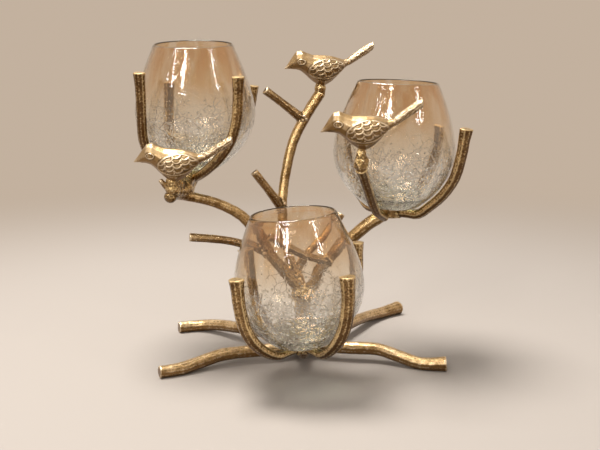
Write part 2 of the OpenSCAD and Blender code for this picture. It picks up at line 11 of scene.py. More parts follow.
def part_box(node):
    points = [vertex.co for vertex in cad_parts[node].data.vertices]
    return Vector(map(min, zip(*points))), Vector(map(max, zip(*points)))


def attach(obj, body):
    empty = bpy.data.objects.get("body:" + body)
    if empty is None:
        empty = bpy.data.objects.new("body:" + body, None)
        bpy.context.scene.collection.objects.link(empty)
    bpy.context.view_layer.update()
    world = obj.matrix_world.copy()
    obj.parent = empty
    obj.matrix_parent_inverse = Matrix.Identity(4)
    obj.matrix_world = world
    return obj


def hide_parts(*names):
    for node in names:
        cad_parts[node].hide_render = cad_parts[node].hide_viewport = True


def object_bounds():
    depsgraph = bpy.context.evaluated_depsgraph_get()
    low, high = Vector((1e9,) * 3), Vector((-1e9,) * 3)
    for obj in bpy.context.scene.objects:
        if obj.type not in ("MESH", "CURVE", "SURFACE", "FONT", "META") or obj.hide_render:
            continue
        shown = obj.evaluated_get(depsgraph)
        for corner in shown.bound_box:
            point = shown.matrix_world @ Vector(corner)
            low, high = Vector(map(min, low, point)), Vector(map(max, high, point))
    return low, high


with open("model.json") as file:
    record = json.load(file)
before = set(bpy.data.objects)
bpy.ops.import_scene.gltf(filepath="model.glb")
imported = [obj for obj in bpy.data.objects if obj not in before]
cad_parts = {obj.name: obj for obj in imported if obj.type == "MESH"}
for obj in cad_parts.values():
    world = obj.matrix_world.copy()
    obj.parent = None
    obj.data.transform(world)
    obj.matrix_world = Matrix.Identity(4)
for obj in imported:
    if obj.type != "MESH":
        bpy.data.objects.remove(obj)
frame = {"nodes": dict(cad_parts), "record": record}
cad_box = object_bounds()
nodes = frame["nodes"]
record = frame["record"]
scene = bpy.context.scene
scene.view_settings.view_transform = "Standard"
MM = 0.001

# The camera's place in metres, its tilt from straight down in degrees, its lens and sensor in mm
CAMERA_AT, CAMERA_TILT = (0.0009, -0.6711, 0.232), 79.06
LENS, SENSOR = 54, 36
# Colours of the wall behind and of the floor, as they show, and the soft light from all round
BACK = (0.545, 0.440, 0.345, 1)
FLOOR = (0.43, 0.385, 0.35, 1)
SOFT, SOFT_STRENGTH = (0.80, 0.76, 0.72, 1), 0.5
# The floor's size, and the distances from the stand between which it fades into the wall, in metres
FLOOR_SIZE, FADE_FROM, FADE_TO = 60, 0.28, 0.95
# Where the lamps point, in metres, and their colours
LAMPS_AIM = (0, 0, 0.12)
WARM, NEUTRAL = (1, 0.97, 0.92), (1, 0.99, 0.96)


# Camera and lamps


def place_camera():
    data = bpy.data.cameras.new("camera")
    data.sensor_width = SENSOR
    data.lens = LENS
    camera = bpy.data.objects.new("camera", data)
    camera.location = CAMERA_AT
    camera.rotation_euler = (math.radians(CAMERA_TILT), 0, 0)
    scene.collection.objects.link(camera)
    scene.camera = camera


def lamp(name, place, size, power, colour=WARM, shape="RECTANGLE"):
    """An area lamp that points at the stand: place and size in metres, power in watts."""
    data = bpy.data.lights.new(name, "AREA")
    data.shape = shape
    data.size, data.size_y = size
    data.energy = power
    data.color = colour
    ob = bpy.data.objects.new(name, data)
    ob.location = place
    ob.rotation_euler = (Vector(LAMPS_AIM) - Vector(place)).to_track_quat("-Z", "Y").to_euler()
    ob.visible_camera = False
    scene.collection.objects.link(ob)


def light():
    lamp("over", (-0.3, 0.1, 1.4), (0.66, 0.6), 27, shape="ELLIPSE")
    lamp("front", (-0.45, -1.15, 0.95), (0.10, 0.5), 4.5)
    lamp("strip_left", (-0.75, -0.75, 0.80), (0.03, 0.40), 1.2)
    lamp("strip_right", (0.8, -0.6, 0.82), (0.035, 0.42), 1.4, NEUTRAL)


# Shader nodes in short


def tree(block):
    block.use_nodes = True
    block.node_tree.nodes.clear()
    return block.node_tree


def put(t, socket, value):
    """Links a node's output to a socket, or sets the socket to a number or colour."""
    if isinstance(value, bpy.types.NodeSocket):
        t.links.new(value, socket)
    else:
        socket.default_value = value


def add(t, kind, **values):
    """A node whose inputs and settings are given by name."""
    n = t.nodes.new(kind)
    for key, value in values.items():
        name = key.replace("_", " ")
        if name in n.inputs:
            put(t, n.inputs[name], value)
        else:
            setattr(n, key, value)
    return n


def fed(t, kind, values, **settings):
    """A node whose inputs are given in their own order, and its settings by name."""
    n = add(t, kind, **settings)
    for socket, value in zip(n.inputs, values):
        put(t, socket, value)
    return n


def maths(t, operation, *values):
    return fed(t, "ShaderNodeMath", values, operation=operation).outputs[0]


def vectors(t, operation, *values):
    return fed(t, "ShaderNodeVectorMath", values, operation=operation).outputs[0]


def blend(t, share, a, b):
    n = add(t, "ShaderNodeMix", data_type="RGBA")
    put(t, n.inputs["Factor"], share)
    put(t, n.inputs["A"], a)
    put(t, n.inputs["B"], b)
    return n.outputs["Result"]


def mix_shader(t, share, a, b):
    return fed(t, "ShaderNodeMixShader", (share, a, b)).outputs[0]


def show(t, kind, shader):
    """Ends a tree with the output of its kind, World or Material."""
    put(t, t.nodes.new("ShaderNodeOutput" + kind).inputs[0], shader)


def steps(t, value, *stops):
    """Straight steps between (place, level) pairs; a level is a grey or a colour."""
    n = t.nodes.new("ShaderNodeValToRGB")
    while len(n.color_ramp.elements) < len(stops):
        n.color_ramp.elements.new(0.5)
    for e, (at, level) in zip(n.color_ramp.elements, stops):
        e.position = at
        e.color = (*level, 1) if isinstance(level, tuple) else (level, level, level, 1)
    put(t, n.inputs[0], value)
    return n.outputs[0]


def grain(t, coords, size, detail=3, rough=0.55):
    """Noise whose features are about as large as size, in millimetres."""
    n = add(t, "ShaderNodeTexNoise", Vector=coords, Scale=1000 / size, Detail=detail, Roughness=rough)
    return n.outputs["Fac"]


def swing(t, value, width):
    """A noise made to swing about 0, and as wide as width."""
    return maths(t, "MULTIPLY", maths(t, "SUBTRACT", value, 0.5), width)


def bump(t, strength, depth, height):
    """A normal that shows the height as relief, with a depth in millimetres."""
    return add(t, "ShaderNodeBump", Strength=strength, Distance=depth * MM, Height=height).outputs[0]


def own_place(t):
    return add(t, "ShaderNodeTexCoord").outputs["Object"]


def attribute(t, name, output="Fac"):
    return add(t, "ShaderNodeAttribute", attribute_name=name).outputs[output]


def normal(t):
    return add(t, "ShaderNodeNewGeometry").outputs["Normal"]


def seen(t):
    """1 for what the camera sees, straight or in metal and glass."""
    path = add(t, "ShaderNodeLightPath")
    mirrored = maths(t, "MAXIMUM", path.outputs["Is Glossy Ray"], path.outputs["Is Transmission Ray"])
    return maths(t, "MAXIMUM", path.outputs["Is Camera Ray"], mirrored)


# Surroundings


def paint_world():
    world = bpy.data.worlds.new("world")
    scene.world = world
    t = tree(world)
    soft = add(t, "ShaderNodeBackground", Color=SOFT, Strength=SOFT_STRENGTH)
    wall = add(t, "ShaderNodeBackground", Color=BACK, Strength=1.0)
    show(t, "World", mix_shader(t, seen(t), soft.outputs[0], wall.outputs[0]))


def make_floor():
    bpy.ops.mesh.primitive_plane_add(size=FLOOR_SIZE, location=(0, 0, 0))
    floor = bpy.context.object
    floor.name = "floor"
    m = bpy.data.materials.new("floor")
    t = tree(m)
    far = fed(t, "ShaderNodeVectorMath", (own_place(t),), operation="LENGTH")
    fade = add(t, "ShaderNodeMapRange", interpolation_type="SMOOTHSTEP",
               Value=far.outputs["Value"], From_Min=FADE_FROM, From_Max=FADE_TO)
    skin = add(t, "ShaderNodeBsdfPrincipled", Base_Color=FLOOR, Roughness=0.7)
    wall = add(t, "ShaderNodeEmission", Color=BACK, Strength=1.0)
    share = maths(t, "MULTIPLY", fade.outputs[0], seen(t))
    show(t, "Material", mix_shader(t, share, skin.outputs[0], wall.outputs[0]))
    floor.data.materials.append(m)


# Gold

# Each gold's tones from dark to bright and where it is rubbed, how rough it is, how full its
# pits are of wash, how strong its grain is, and how far up the painted shade reaches on faces that
# look down: it is full where a face looks down as far as that value says, 0 for straight down and 0.5
# for level
GOLDS = {
    "cast_gold": {
        "dark": (0.34, 0.205, 0.075), "middle": (0.57, 0.385, 0.17), "bright": (0.76, 0.55, 0.28),
        "rubbed": (0.98, 0.80, 0.50), "rough": 0.29, "pits": 0.6, "grit": 0.75, "shade_reach": 0.40},
    "leg_gold": {
        "dark": (0.42, 0.265, 0.11), "middle": (0.70, 0.50, 0.26), "bright": (0.92, 0.72, 0.45),
        "rubbed": (0.99, 0.86, 0.62), "rough": 0.33, "pits": 0.35, "grit": 0.5, "shade_reach": 0.54},
    "prong_gold": {
        "dark": (0.20, 0.108, 0.038), "middle": (0.33, 0.195, 0.075), "bright": (0.46, 0.295, 0.12),
        "rubbed": (0.84, 0.64, 0.34), "rough": 0.36, "pits": 0.45, "grit": 0.9, "shade_reach": 0.38},
    "twig_gold": {
        "dark": (0.30, 0.185, 0.08), "middle": (0.46, 0.31, 0.145), "bright": (0.64, 0.47, 0.26),
        "rubbed": (0.97, 0.82, 0.58), "rough": 0.27, "pits": 0.35, "grit": 0.8, "shade_reach": 0.42},
    "bird_gold": {
        "dark": (0.42, 0.275, 0.125), "middle": (0.51, 0.36, 0.185), "bright": (0.60, 0.46, 0.30),
        "rubbed": (0.78, 0.66, 0.49), "rough": 0.39, "pits": 0.15, "grit": 0.4, "shade_reach": 0.38},
    "weld_gold": {
        "dark": (0.40, 0.255, 0.10), "middle": (0.64, 0.45, 0.20), "bright": (0.82, 0.62, 0.34),
        "rubbed": (0.98, 0.83, 0.55), "rough": 0.24, "pits": 0.5, "grit": 1.0, "shade_reach": 0.38},
}
# Sizes of the patches of tone, of the specks, and of the fine and coarse grain, in mm
PATCH, SPECK, FINE, COARSE = 11, 1.3, 0.8, 2.6
# The wash in hollows, and the brown painted as shade on faces that look down, as shares of a gold's
# dark tone
WASH, UNDERSIDE_SHADE = (0.34, 0.34, 0.34), (0.50, 0.42, 0.30)
# How ragged the painted shade's edge is and how wide it fades, as shares of the turn from down to up
RAGGED, FADE = 0.35, 0.17


def shade(colour, shares):
    return (*(share * c for share, c in zip(shares, colour)), 1)


def painted_underside_shade(t, patches, shade_reach):
    """Where shade is painted on the faces that look down, with a ragged edge."""
    up = fed(t, "ShaderNodeSeparateXYZ", (normal(t),)).outputs["Z"]
    ragged = maths(t, "ADD", up, swing(t, patches, 2 * RAGGED))
    return steps(t, maths(t, "MULTIPLY_ADD", ragged, 0.5, 0.5), (shade_reach, 0.94), (shade_reach + FADE, 0.0))


def worn(t, colour, under, specks, dark, rubbed, pits):
    """The colour rubbed bright on high places, less so where shade is painted on faces that look
    down, and with the dark wash in hollows and pits."""
    relief = maths(t, "ADD", attribute(t, "relief"), swing(t, specks, 0.12))
    high = steps(t, relief, (0.56, 0.0), (0.72, 0.9))
    hollow = steps(t, relief, (0.26, 0.9), (0.44, 0.0))
    pit = steps(t, specks, (0.32, pits), (0.42, 0.0))
    # less rubbed brightness where shade is painted on faces that look down
    unshaded = maths(t, "MULTIPLY_ADD", under, -0.55, 1.0)
    bright = blend(t, maths(t, "MULTIPLY", high, unshaded), colour, (*rubbed, 1))
    wash = shade(dark, WASH)
    return blend(t, pit, blend(t, hollow, bright, wash), wash)


def gold(name, dark, middle, bright, rubbed, rough, pits, grit, shade_reach):
    """Antique gold on cast metal: patches of tone, a dark wash in hollows, shade painted on faces
    that look down, high places rubbed bright, a fine grain and a thin lacquer."""
    m = bpy.data.materials.new(name)
    t = tree(m)
    coords = own_place(t)
    patches = grain(t, coords, PATCH, 4, 0.6)
    specks = grain(t, coords, SPECK, 3, 0.65)
    tone = steps(t, patches, (0.32, dark), (0.5, middle), (0.70, bright))
    glint = steps(t, specks, (0.56, 0.0), (0.66, 0.55 * grit))
    # painted shade: faces that look down are darkened towards a brown, with a ragged edge
    under = painted_underside_shade(t, patches, shade_reach)
    shade_painted_tone = blend(t, under, blend(t, glint, tone, (*rubbed, 1)), shade(dark, UNDERSIDE_SHADE))
    dull = add(t, "ShaderNodeMapRange", Value=specks, From_Min=0.3, From_Max=0.7,
               To_Min=rough + 0.14, To_Max=rough - 0.07)
    height = maths(t, "ADD", grain(t, coords, FINE, 4, 0.7), grain(t, coords, COARSE, 3, 0.6))
    skin = add(t, "ShaderNodeBsdfPrincipled", Metallic=1.0, Coat_Weight=0.3, Coat_Roughness=0.2,
               Base_Color=worn(t, shade_painted_tone, under, specks, dark, rubbed, pits),
               Roughness=dull.outputs[0], Normal=bump(t, 0.5 * grit, depth=0.4, height=height))
    show(t, "Material", skin.outputs[0])
    return m


# Crackle glass

# The tints by share of the cup's height, and the pale streaks in them
TINTS = (
    (0.0, (0.84, 0.91, 0.84)), (0.09, (0.96, 0.97, 0.92)), (0.32, (0.98, 0.97, 0.94)),
    (0.52, (0.96, 0.91, 0.82)), (0.74, (0.885, 0.705, 0.49)), (0.97, (0.845, 0.625, 0.39)))
STREAK = (0.97, 0.93, 0.87, 1)
# How much of the floor's green shows, by share of the cup's height
BANDS = ((0.0, 0.9), (0.022, 0.1), (0.038, 0.85), (0.055, 0.0), (0.072, 0.6), (0.10, 0.0))
GREEN = (0.32, 0.47, 0.37, 1)
# Cracks of two sizes, and flat ones round the floor: their spacing in mm, the line's width as a
# share of it, the level of a noise under which they open, how strongly they show by share of
# the cup's height, and how many times wider than high the flat ones' cells are
CRACKS = (
    {"size": 8.0, "width": 0.055, "kept": 0.52, "share": ((0.10, 0.9), (0.40, 0.9), (0.58, 0.0))},
    {"size": 4.0, "width": 0.08, "kept": 0.49, "share": ((0.10, 0.9), (0.30, 0.8), (0.46, 0.0))},
    {"size": 7.0, "width": 0.13, "kept": 0.55, "share": ((0.02, 1.0), (0.17, 0.9), (0.27, 0.0)),
     "flat": 3.4})
# How finely and how far a noise bends the cracks, the second in metres
BEND_SCALE, BEND = 190, 0.0032
# The flakes' spacing in mm, their radius as a share of it, and how many there are by share of
# the cup's height
FLAKE, FLAKE_R = 1.9, 0.46
CROWD = ((0.05, 0.50), (0.18, 0.48), (0.30, 0.30), (0.40, 0.07), (0.50, 0.0))
# Colours painted on a crack or flake as a dark and as a bright reflection
DARK_REFLECTION_PAINT, BRIGHT_REFLECTION_PAINT = (0.20, 0.18, 0.13), (1.0, 0.96, 0.87)
# How far the small mirrors lean from the surface, and how much they hide of the clear glass
LEAN, HIDES = 1.3, 0.7
# Size in mm of the drift that makes the blown glass uneven, and how far it moves the tints and
# the floor's bands, as shares of the cup's height
DRIFT, TINT_DRIFT, BAND_DRIFT = 26, 0.2, 0.02


def glass_tint(t, coords, rise, level, drift):
    """The lustre with pale upright streaks in its upper part, and the floor's ragged bands."""
    upright = add(t, "ShaderNodeMapping", Vector=coords, Scale=(1, 1, 0.12)).outputs[0]
    pale = steps(t, grain(t, upright, 10, 2), (0.46, 0.0), (0.60, 0.5))
    upper = steps(t, rise, (0.4, 0.0), (0.7, 1.0))
    lustre = blend(t, maths(t, "MULTIPLY", pale, upper), steps(t, level, *TINTS), STREAK)
    ragged = maths(t, "ADD", rise, swing(t, drift, BAND_DRIFT))
    return blend(t, steps(t, ragged, *BANDS), lustre, GREEN)


def bent_place(t, coords):
    """The place moved by a noise, so that no crack is straight."""
    bent = add(t, "ShaderNodeTexNoise", Vector=coords, Scale=BEND_SCALE, Detail=3)
    pull = vectors(t, "MULTIPLY", bent.outputs["Color"], (BEND, BEND, BEND))
    return vectors(t, "ADD", coords, pull)


def cracks(t, coords, bent, level, size, width, kept, share, flat=1.0):
    """1 on the lines between cells, where a noise of twice their size lets them open."""
    place = add(t, "ShaderNodeMapping", Vector=bent, Scale=(1, 1, flat)).outputs[0]
    cells = add(t, "ShaderNodeTexVoronoi", feature="DISTANCE_TO_EDGE", Vector=place, Scale=1000 / size)
    line = steps(t, cells.outputs["Distance"], (0.0, 1.0), (width, 0.0))
    open_here = steps(t, grain(t, coords, 2.2 * size, 2), (kept - 0.03, 1.0), (kept + 0.03, 0.0))
    return maths(t, "MULTIPLY", maths(t, "MULTIPLY", line, open_here), steps(t, level, *share))


def clear_glass(t, tint, shown):
    """The glass between the cracks. The blown wall is wavy, and both its sides take their waves
    from the same place."""
    wall = attribute(t, "wall", "Vector")
    wave = maths(t, "ADD", grain(t, wall, 8, 1), maths(t, "MULTIPLY", grain(t, wall, 3, 1), 0.25))
    relief = maths(t, "MULTIPLY_ADD", shown, 0.5, maths(t, "MULTIPLY", wave, 0.12))
    return add(t, "ShaderNodeBsdfPrincipled", Base_Color=tint, Roughness=0.0, IOR=1.46,
               Transmission_Weight=1.0, Coat_Weight=1.0, Coat_Roughness=0.0, Coat_IOR=1.6,
               Normal=bump(t, strength=0.6, depth=0.5, height=relief),
               Coat_Normal=bump(t, strength=0.9, depth=0.7, height=wave)).outputs[0]


def small_mirrors(t, coords, lot, flake):
    """What a crack or flake shows: a small mirror that leans by its lot, with a bright or dark
    reflection painted into its colour. Its lot is a colour that differs from cell to cell."""
    share = add(t, "ShaderNodeSeparateColor", Color=lot).outputs[1]
    chance = maths(t, "ADD", maths(t, "MULTIPLY", share, 0.3),
                   maths(t, "MULTIPLY", grain(t, coords, 2.4, 2), 0.7))
    # painted reflection: which cracks and flakes are coloured bright and which dark, flakes more often
    # bright
    reflection_pick = maths(t, "MULTIPLY_ADD", flake, 0.16, chance)
    tilt = vectors(t, "SUBTRACT", lot, (0.5, 0.5, 0.5))
    leaning = vectors(t, "MULTIPLY_ADD", tilt, (LEAN, LEAN, LEAN), normal(t))
    return add(t, "ShaderNodeBsdfPrincipled", Metallic=0.15, Roughness=0.15, Transmission_Weight=0.15,
               Base_Color=steps(t, reflection_pick, (0.47, DARK_REFLECTION_PAINT), (0.51, BRIGHT_REFLECTION_PAINT)),
               Normal=vectors(t, "NORMALIZE", leaning)).outputs[0]


def crackle_glass():
    """Blown glass: an amber lustre towards the rim, clear below with cracks and flakes that
    catch the light, partly as leaning mirrors and partly with bright and dark reflections painted
    in their colour, and crowd together above the greenish floor."""
    m = bpy.data.materials.new("crackle_glass")
    t = tree(m)
    coords = own_place(t)
    rise = attribute(t, "height")
    drift = grain(t, coords, DRIFT, 2)
    level = maths(t, "ADD", rise, swing(t, drift, TINT_DRIFT))
    bent = bent_place(t, coords)
    cells = add(t, "ShaderNodeTexVoronoi", Vector=bent, Scale=1000 / FLAKE)
    lot = cells.outputs["Color"]
    chance = add(t, "ShaderNodeSeparateColor", Color=lot).outputs[0]
    flake = maths(t, "MULTIPLY", maths(t, "LESS_THAN", chance, steps(t, level, *CROWD)),
                  maths(t, "LESS_THAN", cells.outputs["Distance"], FLAKE_R))
    broken = flake
    for row in CRACKS:
        broken = maths(t, "MAXIMUM", broken, cracks(t, coords, bent, level, **row))
    shown = maths(t, "MULTIPLY", broken, attribute(t, "outside"))
    clear = clear_glass(t, glass_tint(t, coords, rise, level, drift), shown)
    crack = small_mirrors(t, coords, lot, flake)
    show(t, "Material", mix_shader(t, maths(t, "MULTIPLY", shown, HIDES), clear, crack))
    return m


# Cast pieces of the frame

# A CAD node meets its carrier where it is this near, in mm, and beads lie this far apart
SEAM_REACH, SEAM_STEP = 0.08, 2.0
# By what share the beads differ in size, and how finely a noise makes them do so
BEAD_SPREAD, BEAD_SCALE = 0.45, 400
# A prong's side bevels: the cosine of the angle from their normals to straight out from the cup,
# and how far it may differ; and how deep the prong's cut end is taken to be, in mm
BEVEL_LEAN, BEVEL_RANGE, CUT_DEPTH = 0.25, 0.27, 3.0
# How much a prong's bevels and cut end count as higher, so that a highlight is painted on
# them, and how much lower the knobs count, so that they come out darker
BEVEL_HIGHLIGHT, KNOB_DARKENING = 0.3, 0.35


def read(values, width, kind):
    """The named values of all vertices as rows of a numpy array."""
    flat = np.empty(len(values) * width)
    values.foreach_get(kind, flat)
    return flat.reshape(-1, width)


def places_of(mesh):
    return read(mesh.vertices, 3, "co")


def normals_of(mesh):
    return read(mesh.vertex_normals, 3, "vector")


def move_to(mesh, co):
    mesh.vertices.foreach_set("co", co.ravel())
    mesh.update()


def mark(mesh, name, values, kind="FLOAT", field="value"):
    mesh.attributes.new(name, kind, "POINT").data.foreach_set(field, values)


def tree_of(node):
    data = nodes[node].data
    return BVHTree.FromPolygons([v.co for v in data.vertices], [p.vertices for p in data.polygons])


def changed(mesh, *modifiers):
    """A new mesh: the old one after modifiers, each given by its kind and its values."""
    ob = bpy.data.objects.new("work", mesh)
    scene.collection.objects.link(ob)
    for kind, values in modifiers:
        modifier = ob.modifiers.new(kind, kind)
        for key, value in values.items():
            setattr(modifier, key, value)
    done = bpy.data.meshes.new_from_object(ob.evaluated_get(bpy.context.evaluated_depsgraph_get()))
    bpy.data.objects.remove(ob)
    return done


def softened(rounds):
    return "SMOOTH", {"factor": 0.5, "iterations": rounds}


def roughened(texture, depth):
    return "DISPLACE", {"texture": texture, "strength": depth * MM, "mid_level": 0.6,
                        "texture_coords": "LOCAL"}


def clouds(size):
    texture = bpy.data.textures.new("clouds", "CLOUDS")
    texture.noise_scale = size * MM
    texture.noise_depth = 1
    return texture


# The hammered and the pitted pattern of cast metal, by the size of their features in mm
HAMMERED, PITTED = clouds(5.5), clouds(1.3)


def skin_of(mesh, voxel, rounds, dents, pits):
    """A finer mesh of the same form, its edges softened and its surface cast."""
    finer = "REMESH", {"mode": "VOXEL", "voxel_size": voxel * MM}
    return changed(mesh, finer, softened(rounds), roughened(HAMMERED, dents), roughened(PITTED, pits))


def seam(node, carrier):
    """Places where a CAD node meets the piece that carries it, in metres."""
    surface = tree_of(carrier)
    kept = []
    for v in nodes[node].data.vertices:
        near = surface.find_nearest(v.co, SEAM_REACH * MM)
        if near[0] is not None and all((v.co - k).length > SEAM_STEP * MM for k in kept):
            kept.append(v.co.copy())
    return kept


def weld(mesh, places, bead, subdivisions=2):
    """Adds beads of braze metal, about bead mm in radius, at the places."""
    bm = bmesh.new()
    bm.from_mesh(mesh)
    for p in places:
        radius = bead * MM * (1 + BEAD_SPREAD * noise.noise(p * BEAD_SCALE))
        made = bmesh.ops.create_icosphere(bm, subdivisions=subdivisions, radius=radius)
        bmesh.ops.translate(bm, verts=made["verts"], vec=p)
    bm.to_mesh(mesh)
    bm.free()


def ridge(distance, width):
    """A rounded ridge, 1 high on its line and 0 at its width to either side."""
    return np.clip(1 - (distance / width) ** 2, 0, None)


def bevels(mesh, cup):
    """1 on a prong's side bevels, which face a little away from the cup, and on its up-facing cut
    end, where a highlight is painted, and 0 elsewhere."""
    surface = tree_of(cup)
    lean = []
    for v in mesh.vertices:
        away = v.co - surface.find_nearest(v.co)[0]
        lean.append(v.normal.dot(away.normalized()))
    up, top = normals_of(mesh)[:, 2], places_of(mesh)[:, 2]
    cut = (up > 0.75) & (top > top.max() - CUT_DEPTH * MM)
    return np.maximum(ridge(np.array(lean) - BEVEL_LEAN, BEVEL_RANGE), cut)


def knob_mask(mesh, knobs):
    """1 on the knobs and 0 elsewhere."""
    co = places_of(mesh)
    on = [np.linalg.norm(co - np.array(place), axis=1) < 1.2 * radius * MM for place, radius in knobs]
    return np.any(on, axis=0)


def mark_relief(mesh, more=0, rounds=24):
    """How far each vertex stands above its smoothed surroundings: 0.5 is as most of the
    piece does, and 0.1 mm more or less adds or takes away 0.3. More is added to it."""
    smooth = changed(mesh, softened(rounds))
    rise = places_of(mesh) - places_of(smooth)
    over = (rise * normals_of(mesh)).sum(axis=1) / MM
    bpy.data.meshes.remove(smooth)
    mark(mesh, "relief", np.clip(0.5 + 3.0 * (over - np.median(over)) + more, 0, 1))


def flare(mesh, length=9.0, wider=0.10):
    """Widens the upper end of a prong over its last length mm, as the cut end is. Its line
    there goes from the middle of a short stretch under the flare to the middle of the tip."""
    co = places_of(mesh) / MM
    tip = co[co[:, 2] > co[:, 2].max() - 1.0].mean(axis=0)
    near = np.linalg.norm(co - tip, axis=1)
    along = tip - co[(near > length) & (near < length + 2.5)].mean(axis=0)
    along /= np.linalg.norm(along)
    share = np.clip(((co - tip) @ along + length) / length, 0, 1) * (near < 2 * length)
    outward = co - tip - ((co - tip) @ along)[:, None] * along
    co += outward * (wider * share)[:, None]
    move_to(mesh, co * MM)


def swell(mesh, by):
    """Moves the surface outward, by mm."""
    co = places_of(mesh)
    by = np.broadcast_to(by, len(co))
    move_to(mesh, co + normals_of(mesh) * by[:, None] * MM)


def finish_piece(name, mesh, node, material, body):
    """Makes the piece that stands for a CAD node, kept inside the CAD's box."""
    move_to(mesh, np.clip(places_of(mesh), np.array(cad_box[0]), np.array(cad_box[1])))
    mesh.polygons.foreach_set("use_smooth", [True] * len(mesh.polygons))
    mesh.materials.clear()
    mesh.materials.append(material)
    mesh.update()
    ob = bpy.data.objects.new(name, mesh)
    scene.collection.objects.link(ob)
    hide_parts(node)
    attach(ob, body)


def cast(node, material, carriers=(), bead=1.3, voxel=0.5, rounds=4, dents=0.35, pits=0.14,
         grown=0, carve=None, knobs=(), round_knobs=2, dark_knobs=False, cup=None):
    """A cast piece with braze beads where it meets its carriers, grown by some mm, and with
    knobs given as [place in metres, radius in mm]. A prong names the cup that it holds. Bead,
    voxel, dents and pits are sizes in mm, and rounds says how soft the edges are."""
    mesh = nodes[node].data.copy()
    places = [p for c in carriers for p in seam(node, c)]
    if places:
        weld(mesh, places, bead)
    for place, radius in knobs:
        weld(mesh, [place], radius, round_knobs)
    mesh = skin_of(mesh, voxel, rounds, dents, pits)
    if grown:
        swell(mesh, grown)
    if cup:
        flare(mesh)
    if carve:
        swell(mesh, carve(places_of(mesh) / MM))
    # painted highlight: a prong's bevels and cut end count as higher, so they come out rubbed bright
    more = BEVEL_HIGHLIGHT * bevels(mesh, cup) if cup else 0
    # where dark_knobs is set, the knobs count as lower, so they come out darker
    mark_relief(mesh, more - KNOB_DARKENING * knob_mask(mesh, knobs) if dark_knobs else more)
    finish_piece(node + "_skin", mesh, node, material, "frame")


# Glass cups

# Sizes of the CAD's cup in mm: height, radii at the belly, rim and base, the belly's height,
# the floor's thickness, the wall's thickness low and at the rim, and how full its curve is
# below the belly and above it
CUP_H, CUP_R, RIM_R, BASE_R, BELLY_H, FLOOR_T = 92, 45.5, 29.5, 19.5, 42, 8
WALL_LOW, WALL_RIM = 2.2, 1.2
FULL_LOW, FULL_HIGH = 2.2, 1.55
# Points up each side of the wall, and points around
UP_COUNT, ROUND_COUNT = 92, 144
# Dents and finer ripples in the blown wall: depth, width and height in mm, and a shift of the noise
DENTS = ((0.4, 17, 30, 0), (0.06, 6, 12, 5))


def glass_r(h):
    low = BASE_R + (CUP_R - BASE_R) * (1 - max(0, (BELLY_H - h) / BELLY_H) ** FULL_LOW)
    high = RIM_R + (CUP_R - RIM_R) * (1 - max(0, (h - BELLY_H) / (CUP_H - BELLY_H)) ** FULL_HIGH)
    return low if h < BELLY_H else high


def cup_profile():
    """[radius, height, 1 outside or 0 inside] from the middle of the base over the rim to the
    floor. A few points round the base's edge, the rim and the corner inside."""
    base = [[r, 0, 1] for r in (0.01, 6, 12, BASE_R - 1.2)]
    outside = [[glass_r(h), h, 1] for h in np.linspace(0, CUP_H - 0.5, UP_COUNT)]
    outside[0] = [BASE_R - 0.4, 0.25, 1]
    rim = [
        [RIM_R - 0.15, CUP_H - 0.1, 1], [RIM_R - WALL_RIM / 2, CUP_H + 0.25, 0.5],
        [RIM_R - WALL_RIM + 0.1, CUP_H, 0]]
    inside = []
    for h in np.linspace(CUP_H - 0.6, FLOOR_T + 2.5, UP_COUNT):
        share = (CUP_H - h) / CUP_H
        inside.append([glass_r(h) - WALL_RIM - (WALL_LOW - WALL_RIM) * min(1, 1.6 * share), h, 0])
    wide = inside[-1][0]
    floor = [
        [wide - 1.6, FLOOR_T + 0.9, 0], [wide - 4, FLOOR_T + 0.2, 0],
        [10, FLOOR_T - 0.1, 0], [0.01, FLOOR_T - 0.3, 0]]
    return base + outside + rim + inside + floor


def turned_faces(rings, around):
    """The faces between rings of vertices, and one at each end."""
    faces = []
    for ring in range(0, (rings - 1) * around, around):
        for k in range(around):
            after = (k + 1) % around
            faces.append((ring + k, ring + after, ring + around + after, ring + around + k))
    faces.append(tuple(range(around - 1, -1, -1)))
    faces.append(tuple((rings - 1) * around + k for k in range(around)))
    return faces


def dented(r, h, x, y, seed):
    """How far a point at a radius and height is pushed in, in mm, by its place on the outside."""
    inward = 0
    for depth, width, height, shift in DENTS:
        place = Vector((x / width, y / width, h / height + seed + shift))
        inward += depth * (0.5 + noise.noise(place))
    return inward * min(1, r / 10) * (1 if 0.5 < h < CUP_H - 3 else 0)


def blow_cup(name, axis, base, seed):
    """Blown glass: the turned profile, a little uneven, inward only."""
    profile = cup_profile()
    turn = Vector((0, 0, 1)).rotation_difference(axis)
    co, up, outer, wall = [], [], [], []
    for r, h, side in profile:
        for k in range(ROUND_COUNT):
            a = 2 * math.pi * k / ROUND_COUNT
            # both sides of the wall share their dents and waves
            x, y = CUP_R * math.cos(a), CUP_R * math.sin(a)
            inward = dented(r, h, x, y, seed)
            p = Vector((r * math.cos(a), r * math.sin(a), h))
            p.x -= inward * math.cos(a)
            p.y -= inward * math.sin(a)
            co.append(base + turn @ (p * MM))
            wall += (x * MM, y * MM, (h + 200 * seed) * MM)
            up.append(h / CUP_H)
            outer.append(side)
    mesh = bpy.data.meshes.new(name)
    mesh.from_pydata(co, [], turned_faces(len(profile), ROUND_COUNT))
    mark(mesh, "height", up)
    mark(mesh, "outside", outer)
    mark(mesh, "wall", wall, "FLOAT_VECTOR", "vector")
    return mesh


def make_cups(material):
    mounts = {m["name"]: m for m in record["mounts"]}
    for seed, side in enumerate(("front", "left", "right")):
        seat = mounts[side + "_candle_seat"]
        axis = Vector(seat["axis"])
        base = Vector(seat["pos_m"]) - FLOOR_T * MM * axis
        node = side + "_cup"
        mesh = blow_cup(node + "_glass", axis, base, 11 * seed)
        finish_piece(node + "_glass", mesh, node, material, node + "_body")


